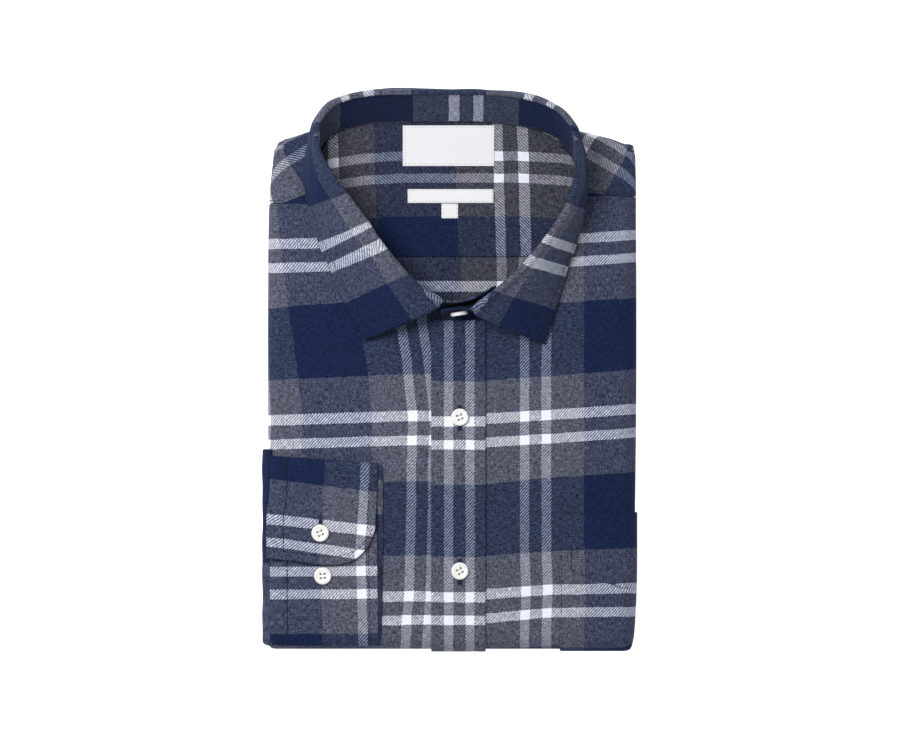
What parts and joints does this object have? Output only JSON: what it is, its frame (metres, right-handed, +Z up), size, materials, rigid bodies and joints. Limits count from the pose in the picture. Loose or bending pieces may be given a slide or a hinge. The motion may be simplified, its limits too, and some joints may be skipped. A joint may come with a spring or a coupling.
{
  "type": "folded flannel shirt",
  "caption": "Man's long-sleeved flannel shirt folded for the shelf: standing collar, button placket, chest pocket, and one cuff laid on the front.",
  "frame": {"origin": "under the middle of the folded shirt, on the surface that it lies on", "axes": "+Z up from the surface, +Y from the bottom fold to the collar, +X from the wearer's right side to the left"},
  "size_m": [0.2443, 0.3662, 0.0552],
  "materials": {
    "flannel": "brushed cotton twill in a navy, grey and white plaid",
    "label": "woven white satin, bare",
    "button": "polished white, four holes"
  },
  "bodies": {
    "root": {"hidden_layers": "flannel", "front_right": "flannel", "front_left": "flannel", "placket": "flannel", "pocket": "flannel", "yoke_outer": "flannel", "yoke_inner": "flannel", "back": "flannel", "collar_stand": "flannel", "collar_leaf": "flannel", "sleeve_right": "flannel", "cuff_right": "flannel", "label_neck": "label", "label_care": "label", "label_size": "label", "button_collar": "button", "button_front_1": "button", "button_front_2": "button", "button_cuff_1": "button", "button_cuff_2": "button"}
  },
  "joints": []
}
